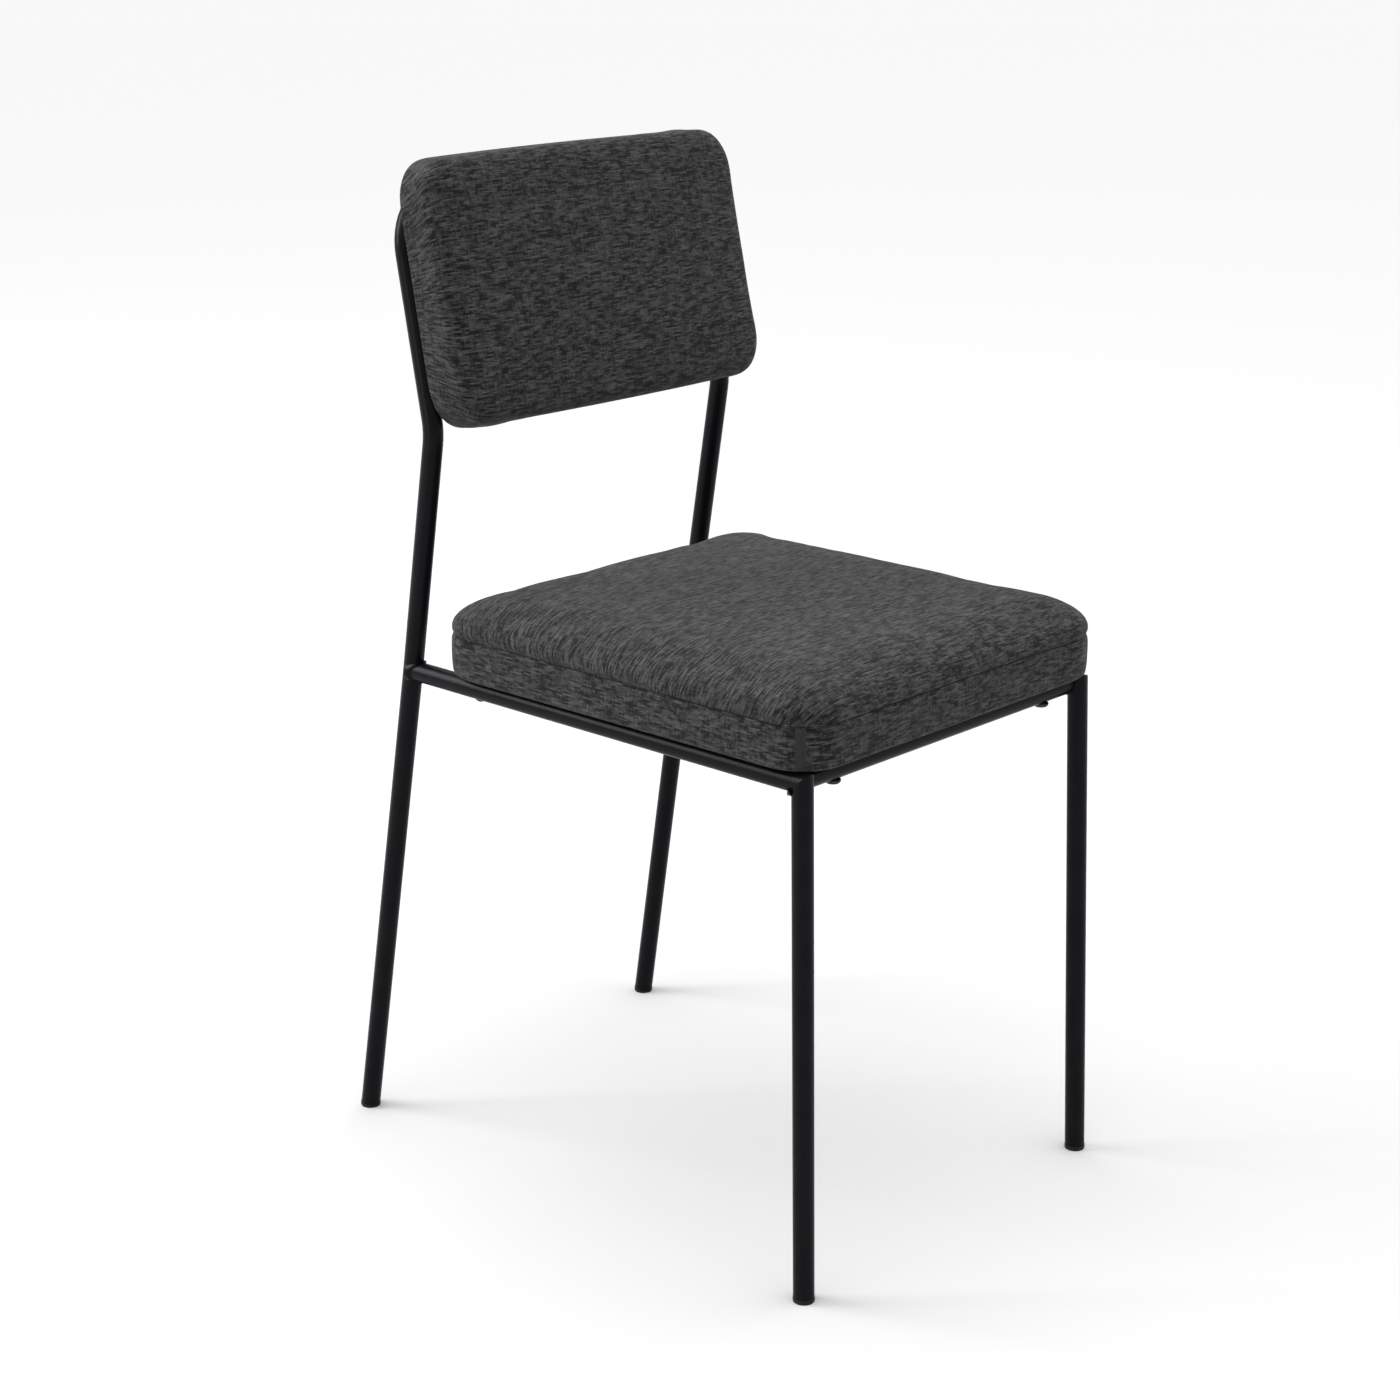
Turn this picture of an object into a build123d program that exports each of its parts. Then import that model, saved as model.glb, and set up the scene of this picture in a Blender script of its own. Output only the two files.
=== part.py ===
from build123d import *
from math import cos, radians, sin, sqrt
import os

# Upholstered dining chair on a welded steel tube frame, all sizes in millimetres.
# +Z is up, the sitter faces -Y, +X is the chair's lateral axis, and the origin is on the
# floor in the middle of the chair's footprint.

# ---- frame: driving dimensions -------------------------------------------------------------
TUBE_R = 8.0                 # 16 mm round steel tube
TUBE_WALL = 1.2
RAIL_Z = 397.5               # centre line of the seat rails
FRONT_LEG_X = 165.0          # front leg centre line at rail height
FRONT_LEG_Y = -232.0
FRONT_FOOT_X = 171.0         # the front legs splay a little towards the floor
FRONT_FOOT_Y = -244.0
REAR_X = 163.0               # rear uprights at the rails and above
REAR_RAIL_Y = 177.0          # where a side rail meets its upright
REAR_FOOT_X = 167.5
REAR_FOOT_Y = 244.23
KINK_Y = 144.2               # the upright leans forward up to here, then back
KINK_Z = 594.0
KINK_BEND_R = 60.0
KNEE_BEND_R = 600.0          # the slight outward bend at the rails
BACK_LEAN = 11.0             # degrees from vertical, above the kink
HOOP_RISE = 184.0            # from the kink to the top bar, along the lean
HOOP_BEND_R = 48.0
FRONT_RAIL_Y = -226.0
REAR_CROSS_Y = 100.0
FIT_UP = 0.05                # clearance of a shaped tube end before it is welded
WELD_SIZE = 2.0
WELD_FLUSH = 0.3             # how far the weld beads stay below the rails' tops
BEAD_SPAN = 30.0             # the stretch of bar that a joint's bead is worked out on
CORNER_WELD = 3.0            # the bead in the inner corner of a side rail and its front leg

# ---- feet ----------------------------------------------------------------------------------
CAP_R = 8.2
CAP_BELOW = 3.5              # from the floor up to the tube's cut end
CAP_ROUND = 2.0
CAP_SINK = 1.0               # what the flat sole takes off the rounded cap
PLUG_LENGTH = 18.0
PLUG_R = 5.4
PLUG_RIBS = 4
PLUG_RIB_R = TUBE_R - TUBE_WALL - 0.05

# ---- seat ----------------------------------------------------------------------------------
SEAT_HALF_W = 180.0
SEAT_FRONT_Y = -249.2
SEAT_REAR_Y = 137.0
SEAT_CORNER_R = 40.0
SEAT_SEAM_Z = 440.0          # the side band ends here and the top panel begins
SEAT_TOP_Z = 469.0
SEAT_TOP_ROUND = 24.0
SEAT_BOTTOM_ROUND = 5.0
CLOTH = 1.2                  # upholstery fabric
DUST_CLOTH = 0.6
SEAT_BOARD_T = 12.0
HEM_WIDTH = 30.0             # fabric turned under the board
DUST_INSET = 12.0
SEAT_SCREW_X = 125.0
STAPLE_INSET = 22.0
FOAM_WRAP = 3.0              # the foam also covers the boards' edges, this thick

# ---- backrest (in the leaning plane: x across, y up the lean, z forwards) -------------------
BACK_HALF_W = 170.0
BACK_BOTTOM = -1.5           # measured from the kink, along the lean
BACK_TOP = 205.5
BACK_CORNER_R = 36.0
BACK_T = 38.2
BACK_FRONT_ROUND = 11.0
BACK_REAR_ROUND = 2.5
REAR_CLOTH = 0.8
BACK_BOARD_T = 9.0
REAR_CLOTH_INSET = 9.0
TAB_HEIGHTS = (45.0, 150.0)  # mounting tabs, along the lean from the kink
TAB_W = 24.0
TAB_T = 3.0
TAB_REACH = 34.0             # from the upright's centre line inwards to the tab's end
TAB_HOLE_X = 140.0

# ---- fasteners -----------------------------------------------------------------------------
M6_R = 2.95                  # bolt thread's outside, drawn as a plain shank
M6_CLEAR_R = 3.3
HEAD_R = 6.0
HEAD_H = 3.0
SEAT_SCREW_L = 30.0
BACK_SCREW_L = 16.0
NUT_BORE_R = 3.0
NUT_BARREL_R = 3.9
NUT_FLANGE_R = 9.5
NUT_FLANGE_T = 1.4
NUT_BARREL = 8.0
PRONG = (1.2, 2.8, 6.0)          # thickness, width and depth
STAPLE_CROWN = 10.0
STAPLE_WIRE = 0.6
STAPLE_LEG = 6.0
STAPLE_PITCH = 46.0

os.makedirs("parts", exist_ok=True)

# ---- derived places ------------------------------------------------------------------------
RAIL_TOP = RAIL_Z + TUBE_R
HEM_Z = RAIL_TOP + DUST_CLOTH
BOARD_Z = HEM_Z + CLOTH
BOARD_TOP = BOARD_Z + SEAT_BOARD_T
LEAN_UP = Vector(0, sin(radians(BACK_LEAN)), cos(radians(BACK_LEAN)))
LEAN_FRONT = Vector(0, -cos(radians(BACK_LEAN)), sin(radians(BACK_LEAN)))
KINK = Vector(0, KINK_Y, KINK_Z)
HOOP_TOP = KINK + LEAN_UP * HOOP_RISE
BACK_PLANE = Plane(origin=KINK + LEAN_FRONT * TUBE_R, x_dir=(1, 0, 0), z_dir=LEAN_FRONT)
SEAT_SCREWS = [(sx * SEAT_SCREW_X, y) for y in (FRONT_RAIL_Y, REAR_CROSS_Y) for sx in (-1, 1)]
BACK_SCREWS = [(sx * TAB_HOLE_X, h) for h in TAB_HEIGHTS for sx in (-1, 1)]
SIDES = {"left": -1, "right": 1}


def save(shapes, name):
    """Write one node; a list becomes one compound of separate solids."""
    node = Compound(children=list(shapes)) if isinstance(shapes, (list, tuple)) else shapes
    node.label = name
    export_step(node, f"parts/{name}.step")


def tube_path(points, radii):
    return FilletPolyline(*points, radius=radii)


def swept(path, outer, inner=0.0):
    """A round bar, or a tube when it has an inner radius, along the path."""
    section = Circle(outer) - Circle(inner) if inner else Circle(outer)
    start = Plane(origin=path @ 0, z_dir=path % 0)
    return sweep(start * section, path=path)


def leg_end(top, foot):
    """The lower end of a leg's tube: the cap's height above the floor, along the leg."""
    along = (Vector(*top) - Vector(*foot)).normalized()
    return Vector(*foot) + along * (CAP_BELOW / along.Z), along


def rounded_block(half_w, front, rear, corner, z0, z1, r_top, r_bottom):
    """A block with rounded plan corners and rounded top and bottom edges."""
    centre = (front + rear) / 2
    plan = Pos(0, centre, z0) * RectangleRounded(2 * half_w, rear - front, corner)
    block = extrude(plan, z1 - z0)
    block = fillet(block.faces().sort_by(Axis.Z)[-1].edges(), r_top)
    return fillet(block.faces().sort_by(Axis.Z)[0].edges(), r_bottom)


def box_between(low, high):
    size = [h - l for l, h in zip(low, high)]
    centre = [(l + h) / 2 for l, h in zip(low, high)]
    return Pos(*centre) * Box(*size)


def slab(z0, z1):
    """A slice of space between two heights, wider than the chair."""
    return box_between((-300, -400, z0), (300, 400, z1))


def straight_bar(start, end, r):
    along = Vector(*end) - Vector(*start)
    return Plane(origin=start, z_dir=along) * Cylinder(
        r, along.length, align=(Align.CENTER, Align.CENTER, Align.MIN))


# ---- frame ---------------------------------------------------------------------------------
def hoop_points():
    left_end, _ = leg_end((-REAR_X, REAR_RAIL_Y, RAIL_Z), (-REAR_FOOT_X, REAR_FOOT_Y, 0))
    half = [left_end, Vector(-REAR_X, REAR_RAIL_Y, RAIL_Z), Vector(-REAR_X, KINK_Y, KINK_Z),
            Vector(-REAR_X, HOOP_TOP.Y, HOOP_TOP.Z)]
    mirrored = [Vector(-p.X, p.Y, p.Z) for p in reversed(half)]
    return half + mirrored


HOOP_RADII = [KNEE_BEND_R, KINK_BEND_R, HOOP_BEND_R, HOOP_BEND_R, KINK_BEND_R, KNEE_BEND_R]
hoop_path = tube_path(hoop_points(), HOOP_RADII)
hoop_bar = swept(hoop_path, TUBE_R)
save(swept(hoop_path, TUBE_R, TUBE_R - TUBE_WALL), "rear_hoop_tube")
hoop_fit = swept(hoop_path, TUBE_R + FIT_UP)


def side_lines(side):
    """Where a side rail starts, the corner where it meets its front leg, and the leg's end."""
    corner = Vector(side * FRONT_LEG_X, FRONT_LEG_Y, RAIL_Z)
    end, _ = leg_end(tuple(corner), (side * FRONT_FOOT_X, FRONT_FOOT_Y, 0))
    return Vector(side * REAR_X, REAR_RAIL_Y, RAIL_Z), corner, end


def past(start, corner):
    """The line from start to a little beyond the corner."""
    return start, corner + (corner - start).normalized() * 2 * TUBE_R


def mitred(shape, corner, own_end, other_end):
    """The part of a bar on its own side of the mitre at the corner."""
    normal = (own_end - corner).normalized() - (other_end - corner).normalized()
    return split(shape, bisect_by=Plane(origin=corner, z_dir=normal), keep=Keep.TOP)


def side_bar(side, r):
    start, corner, end = side_lines(side)
    rail = mitred(straight_bar(*past(start, corner), r), corner, start, end)
    return rail + mitred(straight_bar(*past(end, corner), r), corner, end, start)


side_bars = {}
side_fits = {}
for name, side in SIDES.items():
    start, corner, end = side_lines(side)
    side_bars[name] = side_bar(side, TUBE_R)
    side_fits[name] = side_bar(side, TUBE_R + FIT_UP)
    rail_line, leg_line = past(start, corner), past(end, corner)
    rail = straight_bar(*rail_line, TUBE_R) - straight_bar(*rail_line, TUBE_R - TUBE_WALL)
    leg = straight_bar(*leg_line, TUBE_R) - straight_bar(*leg_line, TUBE_R - TUBE_WALL)
    save(mitred(rail, corner, start, end) - hoop_fit, f"{name}_side_rail")
    save(mitred(leg, corner, end, start), f"{name}_front_leg")


def cross_rail(y):
    """A straight tube between the side rails, its ends shaped to them, drilled for two screws."""
    ends = ((-FRONT_LEG_X, y, RAIL_Z), (FRONT_LEG_X, y, RAIL_Z))
    rail = straight_bar(*ends, TUBE_R) - straight_bar(*ends, TUBE_R - TUBE_WALL)
    rail = rail - side_fits["left"] - side_fits["right"]
    for x, screw_y in SEAT_SCREWS:
        if screw_y == y:
            rail = rail - Pos(x, y, RAIL_Z) * Cylinder(M6_CLEAR_R, 3 * TUBE_R)
    return max(rail.solids(), key=lambda s: s.volume)


save(cross_rail(FRONT_RAIL_Y), "front_cross_rail")
save(cross_rail(REAR_CROSS_Y), "rear_cross_rail")


def joint_bead(joined, start, end, run):
    """The weld ring where a bar from start to end meets a run: near both, inside neither."""
    collar = straight_bar(start, end, TUBE_R + WELD_SIZE) & straight_bar(*run, TUBE_R + WELD_SIZE)
    bead = collar - straight_bar(start, end, TUBE_R) - joined
    return max(bead.solids(), key=lambda s: s.volume)


def corner_bead(side):
    """The weld in the inner corner between a side rail and its front leg."""
    start, corner, end = side_lines(side)
    lines = past(start, corner), past(end, corner)
    near = [straight_bar(*line, TUBE_R + CORNER_WELD) for line in lines]
    bead = (near[0] & near[1]) - straight_bar(*lines[0], TUBE_R) - straight_bar(*lines[1], TUBE_R)
    bead = bead - straight_bar((-FRONT_LEG_X, FRONT_RAIL_Y, RAIL_Z),
                               (FRONT_LEG_X, FRONT_RAIL_Y, RAIL_Z), TUBE_R)
    reach = 2 * TUBE_R
    inside = box_between((corner.X - reach, corner.Y + TUBE_R / 2, corner.Z - reach),
                         (corner.X + reach, corner.Y + reach, corner.Z - TUBE_R / 2))
    return max((bead & inside).solids(), key=lambda s: s.volume)


beads = []
ground_flush = slab(RAIL_TOP - WELD_FLUSH, RAIL_TOP + 50)
for name, side in SIDES.items():
    rail_start, corner, _ = side_lines(side)
    rise = Vector(side * REAR_X, KINK_Y, KINK_Z) - rail_start
    forward = (corner - rail_start).normalized()
    corner_weld = corner_bead(side)
    beads.append(corner_weld)
    beads.append(joint_bead(hoop_bar, rail_start, rail_start + forward * BEAD_SPAN,
                            (rail_start - rise * 0.2, rail_start + rise)))
    for y in (FRONT_RAIL_Y, REAR_CROSS_Y):
        share = (y - rail_start.Y) / (corner.Y - rail_start.Y)
        x = rail_start.X + (corner.X - rail_start.X) * share
        bead = joint_bead(side_bars[name], (x, y, RAIL_Z), (x - side * BEAD_SPAN, y, RAIL_Z),
                          past(rail_start, corner))
        bead = bead - ground_flush - corner_weld
        beads.append(max(bead.solids(), key=lambda s: s.volume))


# ---- backrest mounting tabs ----------------------------------------------------------------
TAB_WELD_X = REAR_X - sqrt(TUBE_R ** 2 - (TUBE_R - TAB_T) ** 2)

tabs = []
for x, height in BACK_SCREWS:
    side = 1 if x > 0 else -1
    tip = REAR_X - TAB_REACH
    outer = REAR_X - TAB_T
    plate = Pos(side * (tip + outer) / 2, height, -TAB_T / 2) * Box(outer - tip, TAB_W, TAB_T)
    tip_edges = plate.edges().filter_by(Axis.Z).group_by(Axis.X)[0 if side > 0 else -1]
    plate = fillet(tip_edges, TAB_W / 2 - 1)
    weld = Pos(side * TAB_WELD_X, height, -TAB_T) * Rot(90, 0, 0) * Cylinder(WELD_SIZE, TAB_W - 4)
    weld = BACK_PLANE * (weld - plate) - hoop_bar
    beads.append(max(weld.solids(), key=lambda s: s.volume))
    plate = plate - Pos(x, height, 0) * Cylinder(M6_CLEAR_R, 4 * TAB_T)
    tab = BACK_PLANE * plate - hoop_bar
    tabs.append(max(tab.solids(), key=lambda s: s.volume))
save(tabs, "backrest_mounting_tabs")
save(beads, "frame_weld_beads")


# ---- feet ----------------------------------------------------------------------------------
def foot_cap(top, foot):
    """A ribbed plug in the tube and a rounded cap under it, cut flat on the floor."""
    end, along = leg_end(top, foot)
    cap = Cylinder(CAP_R, CAP_BELOW + CAP_SINK, align=(Align.CENTER, Align.CENTER, Align.MAX))
    cap = fillet(cap.edges().sort_by(Axis.Z)[0], CAP_ROUND)
    plug = Cylinder(PLUG_R, PLUG_LENGTH, align=(Align.CENTER, Align.CENTER, Align.MIN))
    cap = cap + chamfer(plug.edges().sort_by(Axis.Z)[-1], 1.5)
    for i in range(PLUG_RIBS):
        z = 3 + i * (PLUG_LENGTH - 7) / (PLUG_RIBS - 1)
        cap = cap + Pos(0, 0, z) * Cylinder(PLUG_RIB_R, 1.0)
    return Plane(origin=end, z_dir=along) * cap - slab(-60, 0)


for name, side in SIDES.items():
    front_top = (side * FRONT_LEG_X, FRONT_LEG_Y, RAIL_Z)
    rear_top = (side * REAR_X, REAR_RAIL_Y, RAIL_Z)
    save(foot_cap(front_top, (side * FRONT_FOOT_X, FRONT_FOOT_Y, 0)), f"front_{name}_foot_cap")
    save(foot_cap(rear_top, (side * REAR_FOOT_X, REAR_FOOT_Y, 0)), f"rear_{name}_foot_cap")


# ---- fasteners -----------------------------------------------------------------------------
def pan_screw(length):
    """A domed head below z = 0 with a cross recess, and a plain shank above it."""
    head = Cylinder(HEAD_R, HEAD_H, align=(Align.CENTER, Align.CENTER, Align.MAX))
    head = fillet(head.edges().sort_by(Axis.Z)[0], 0.8 * HEAD_H)
    shank = Cylinder(M6_R, length, align=(Align.CENTER, Align.CENTER, Align.MIN))
    shank = chamfer(shank.edges().sort_by(Axis.Z)[-1], 0.8)
    recess = Pos(0, 0, -HEAD_H) * (Box(6.0, 1.2, 3.6) + Box(1.2, 6.0, 3.6))
    return head + shank - recess


def prongs():
    """The three prongs that a tee nut's flange presses into the board below z = 0."""
    thick, wide, deep = PRONG
    blade = Pos(NUT_FLANGE_R - thick, 0, -deep / 2) * Box(thick, wide, deep)
    return [Rot(0, 0, 120 * k) * blade for k in range(3)]


def tee_nut():
    """Flange above z = 0, barrel and prongs below it."""
    nut = Cylinder(NUT_FLANGE_R, NUT_FLANGE_T, align=(Align.CENTER, Align.CENTER, Align.MIN))
    nut = nut + Cylinder(NUT_BARREL_R, NUT_BARREL, align=(Align.CENTER, Align.CENTER, Align.MAX))
    for blade in prongs():
        nut = nut + blade
    return nut - Cylinder(NUT_BORE_R, 4 * NUT_BARREL)


def nut_seats(places, z):
    """What a board loses to its tee nuts: a barrel hole and three prong pockets each."""
    cuts = []
    for x, y in places:
        cuts.append(Pos(x, y, z) * Cylinder(NUT_BARREL_R + 0.1, 60))
        cuts += [Pos(x, y, z) * blade for blade in prongs()]
    return cuts


def nut_pockets(places, z):
    """What the foam loses to the flanges and the screws' ends."""
    deep = NUT_FLANGE_T + 2.0
    pocket = Cylinder(NUT_FLANGE_R + 0.3, deep, align=(Align.CENTER, Align.CENTER, Align.MIN))
    return [Pos(x, y, z) * pocket for x, y in places]


def clearance_holes(places, z):
    return [Pos(x, y, z) * Cylinder(M6_CLEAR_R, 12) for x, y in places]


def staple(angle):
    """A crown along X below z = 0 and two legs above it, turned by an angle about Z."""
    low = -STAPLE_WIRE
    half = STAPLE_CROWN / 2
    wire = STAPLE_WIRE
    crown = box_between((-half, -wire / 2, low), (half, wire / 2, 0))
    legs = [box_between((x - wire / 2, -wire / 2, low), (x + wire / 2, wire / 2, STAPLE_LEG))
            for x in (-half + wire / 2, half - wire / 2)]
    return Rot(0, 0, angle) * (crown + legs[0] + legs[1])


def staple_row(half_w, low, high, corner, skipped, z):
    """Staples along the straight sides of a frame of half_w by low to high."""
    places = []
    for n, start, end, place in (
            (0, -half_w + corner, half_w - corner, lambda t: (t, low)),
            (0, -half_w + corner, half_w - corner, lambda t: (t, high)),
            (90, low + corner, high - corner, lambda t: (-half_w, t)),
            (90, low + corner, high - corner, lambda t: (half_w, t))):
        count = round((end - start) / STAPLE_PITCH)
        for i in range(count + 1):
            x, y = place(start + i * (end - start) / count)
            if all(abs(y - s) > STAPLE_CROWN for s in skipped):
                places.append(Pos(x, y, z) * staple(n))
    return places


# ---- seat ----------------------------------------------------------------------------------
def inset_plate(half_w, low, high, corner, inset, z0, z1):
    """A flat plate inset from a rounded outline."""
    plan = Pos(0, (low + high) / 2, z0) * RectangleRounded(
        2 * (half_w - inset), high - low - 2 * inset, max(corner - inset, 6.0))
    return extrude(plan, z1 - z0)


SEAT_PLAN = (SEAT_HALF_W, SEAT_FRONT_Y, SEAT_REAR_Y, SEAT_CORNER_R)
seat_outer = rounded_block(*SEAT_PLAN, HEM_Z, SEAT_TOP_Z, SEAT_TOP_ROUND, SEAT_BOTTOM_ROUND)
seat_inner = rounded_block(SEAT_HALF_W - CLOTH, SEAT_FRONT_Y + CLOTH, SEAT_REAR_Y - CLOTH,
                           SEAT_CORNER_R - CLOTH, BOARD_Z, SEAT_TOP_Z - CLOTH,
                           SEAT_TOP_ROUND - CLOTH, SEAT_BOTTOM_ROUND - CLOTH)
seat_staples = staple_row(SEAT_HALF_W - STAPLE_INSET, SEAT_FRONT_Y + STAPLE_INSET,
                          SEAT_REAR_Y - STAPLE_INSET, SEAT_CORNER_R,
                          (FRONT_RAIL_Y, REAR_CROSS_Y), RAIL_TOP)
seat_board = inset_plate(*SEAT_PLAN, CLOTH + FOAM_WRAP, BOARD_Z, BOARD_TOP)
below_seam = slab(RAIL_Z, SEAT_SEAM_Z)
seat_shell = seat_outer - seat_inner - inset_plate(*SEAT_PLAN, HEM_WIDTH, HEM_Z - 1, BOARD_Z + 1)

save(seat_shell - below_seam, "seat_cover_top_panel")
save((seat_shell & below_seam) - clearance_holes(SEAT_SCREWS, HEM_Z) - seat_staples,
     "seat_cover_side_band")
save((seat_inner & seat_board) - nut_seats(SEAT_SCREWS, BOARD_TOP) - seat_staples, "seat_board")
save((seat_inner - seat_board) - nut_pockets(SEAT_SCREWS, BOARD_TOP), "seat_foam")
dust = inset_plate(*SEAT_PLAN, DUST_INSET, RAIL_TOP, HEM_Z)
save(dust - clearance_holes(SEAT_SCREWS, HEM_Z) - seat_staples, "seat_dust_cover")
save(seat_staples, "seat_staples")
save([Pos(x, y, BOARD_TOP) * tee_nut() for x, y in SEAT_SCREWS], "seat_tee_nuts")
save([Pos(x, y, RAIL_Z - TUBE_R) * pan_screw(SEAT_SCREW_L) for x, y in SEAT_SCREWS],
     "seat_fixing_screws")

# ---- backrest ------------------------------------------------------------------------------
BACK_PLAN = (BACK_HALF_W, BACK_BOTTOM, BACK_TOP, BACK_CORNER_R)
BACK_BOARD_Z = REAR_CLOTH + CLOTH
BACK_BOARD_TOP = BACK_BOARD_Z + BACK_BOARD_T
back_outer = rounded_block(*BACK_PLAN, REAR_CLOTH, BACK_T, BACK_FRONT_ROUND, BACK_REAR_ROUND)
back_inner = rounded_block(BACK_HALF_W - CLOTH, BACK_BOTTOM + CLOTH, BACK_TOP - CLOTH,
                           BACK_CORNER_R - CLOTH, BACK_BOARD_Z, BACK_T - CLOTH,
                           BACK_FRONT_ROUND - CLOTH, BACK_REAR_ROUND - CLOTH)
back_staples = staple_row(BACK_HALF_W - STAPLE_INSET, BACK_BOTTOM + STAPLE_INSET,
                          BACK_TOP - STAPLE_INSET, BACK_CORNER_R, (), REAR_CLOTH + STAPLE_WIRE)
back_board = inset_plate(*BACK_PLAN, CLOTH + FOAM_WRAP, BACK_BOARD_Z, BACK_BOARD_TOP)
back_shell = back_outer - back_inner - inset_plate(*BACK_PLAN, HEM_WIDTH, REAR_CLOTH - 1,
                                                   BACK_BOARD_Z + 1)
rear_cloth = inset_plate(*BACK_PLAN, REAR_CLOTH_INSET, 0, REAR_CLOTH)

save(BACK_PLANE * (back_shell - clearance_holes(BACK_SCREWS, 0) - back_staples), "backrest_cover")
save(BACK_PLANE * ((back_inner & back_board) - nut_seats(BACK_SCREWS, BACK_BOARD_TOP)
                   - back_staples), "backrest_board")
save(BACK_PLANE * ((back_inner - back_board) - nut_pockets(BACK_SCREWS, BACK_BOARD_TOP)),
     "backrest_foam")
save(BACK_PLANE * (rear_cloth - clearance_holes(BACK_SCREWS, 0)), "backrest_rear_cloth")
save([BACK_PLANE * s for s in back_staples], "backrest_staples")
save([BACK_PLANE * Pos(x, y, BACK_BOARD_TOP) * tee_nut() for x, y in BACK_SCREWS],
     "backrest_tee_nuts")
save([BACK_PLANE * Pos(x, y, -TAB_T) * pan_screw(BACK_SCREW_L) for x, y in BACK_SCREWS],
     "backrest_fixing_screws")
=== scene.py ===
from math import cos, pi, radians, sin

import bpy
import numpy as np
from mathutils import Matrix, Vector, noise


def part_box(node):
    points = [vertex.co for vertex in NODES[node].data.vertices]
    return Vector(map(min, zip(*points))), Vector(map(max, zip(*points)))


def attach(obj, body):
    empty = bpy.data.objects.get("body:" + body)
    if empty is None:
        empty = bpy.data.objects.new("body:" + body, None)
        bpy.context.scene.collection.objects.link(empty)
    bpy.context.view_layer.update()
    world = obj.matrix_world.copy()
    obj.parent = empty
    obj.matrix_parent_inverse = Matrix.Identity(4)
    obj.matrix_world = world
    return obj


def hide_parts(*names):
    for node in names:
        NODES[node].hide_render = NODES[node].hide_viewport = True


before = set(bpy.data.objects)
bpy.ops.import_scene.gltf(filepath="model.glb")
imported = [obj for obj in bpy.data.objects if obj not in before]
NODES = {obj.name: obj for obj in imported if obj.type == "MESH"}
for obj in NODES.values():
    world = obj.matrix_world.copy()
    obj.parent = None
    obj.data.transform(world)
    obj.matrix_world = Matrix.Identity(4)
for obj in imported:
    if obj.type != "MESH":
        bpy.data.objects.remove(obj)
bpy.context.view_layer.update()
MM = 0.001

# ---- camera and studio, in metres and degrees ----------------------------------------------
CAMERA_PLACE = (-1.5567, -1.4174, 1.0209)
CAMERA_YAW = 47.333            # from +Y towards +X
CAMERA_PITCH = 17.115          # downwards
SENSOR = 36.0
LENS = 71.085
FLOOR_REACH = 45.0
FLOOR_TONE = (0.52, 0.52, 0.52)
SKY = (0.35, 0.95, 0.55, 2.8)  # from and to this height of the sky dome, and its brightness there
LIT_POINT = (0.0, 0.0, 0.5)    # what the softboxes face
SOFTBOXES = (                 # name, place, width and height, power
    ("rear_left", (-1.9, 2.5, 2.2), (1.6, 1.6), 85.0),
    ("left_low_strip", (-3.15, 0.55, 0.35), (0.35, 0.7), 9.0),
    ("left_rear_spot", (-2.5, 2.35, 1.25), (0.35, 0.35), 13.0),
    ("front_right", (1.9, -2.6, 1.3), (1.6, 1.6), 8.0),
)

# ---- upholstery, in millimetres ------------------------------------------------------------
CLOTH = 1.0                    # thickness of the covers
CELL = 5.5                     # size of the cushions' quads
WEFT_PITCH = 1.5               # thread to thread
WARP_PITCH = 1.4
INNER_INSET = 60.0             # rings run this far in from the edge, then a plain grid

SEAT_CORNER_R = 37.0
SEAT_ROUND_IN = 45.0           # the top edge's rounding, measured in plan
SEAT_ROUND_DOWN = 21.0         # and in height
SEAT_CROWN = 4.5
SEAM_DEPTH = 1.4
SEAM_WIDTH = 2.4
SEAM_RISE = 5.6                # from the seam up to where the rounding starts
PUCKER = 0.55                  # how much the cloth waves beside a seam
PUCKER_PITCH = 11.0
PUCKER_REACH = 9.0
BAND_DRAW = 1.8                # how far the band pulls in at its lower edge
SEAT_HEM_R = 5.0
HEM_WIDTH = 29.0
SEAM_GAP = 0.1                 # half the slit between the two panels at the seam
SEAM_ALLOWANCE = 3.5           # the panels' edges turn in behind the seam by about this
SEAT_SWELL = 3.0               # the most that the simulated cloth may move
FOAM_GAP = 0.6                 # between a cover's inside and the foam
FOAM_LIFT = 0.05               # between a board and the foam on it
NUT_DENT = 1.7                 # height of the foam's dents over the tee nuts
NUT_DENT_R = 16.0
NUT_DENT_FADE = 7.0
# the foam's underside is rings, each this share smaller than its rim
FOAM_SHRINKS = (0.0, 0.012, 0.05, 0.1, 0.16, 0.24, 0.34, 0.46, 0.6, 0.75, 0.88)

BACK_CORNER_R = 30.0
BACK_ROUND = 11.0
BACK_BOW = 2.2
BACK_CROWN = 2.0
BACK_PROUD = 1.0               # how far the padded edge stands out past the CAD outline
BACK_TAPER = 0.1               # the pad is thicker at the bottom and thinner at the top
BACK_HEM_R = 1.8
BACK_SWELL = 2.0

DUST_CLOTH = 0.5
DUST_CORNER_R = 28.0
DUST_SAG = 5.0
DUST_SAG_REACH = 45.0          # the sag has nearly two thirds of its depth this far in
DUST_RIPPLE = 1.3
DUST_RIPPLE_PITCH = 27.06
DUST_RIPPLE_REACH = 10.0

REAR_CLOTH = 0.3
REAR_CORNER_R = 35.0
REAR_TURNING = 8.0             # the rear cloth's edge is turned under by this much

SIM_FRAMES = 20
SIM_PRESSURE = 4.0
CLOTH_SPARE = 0.012            # how much longer the cloth is than the shape it starts from


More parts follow.
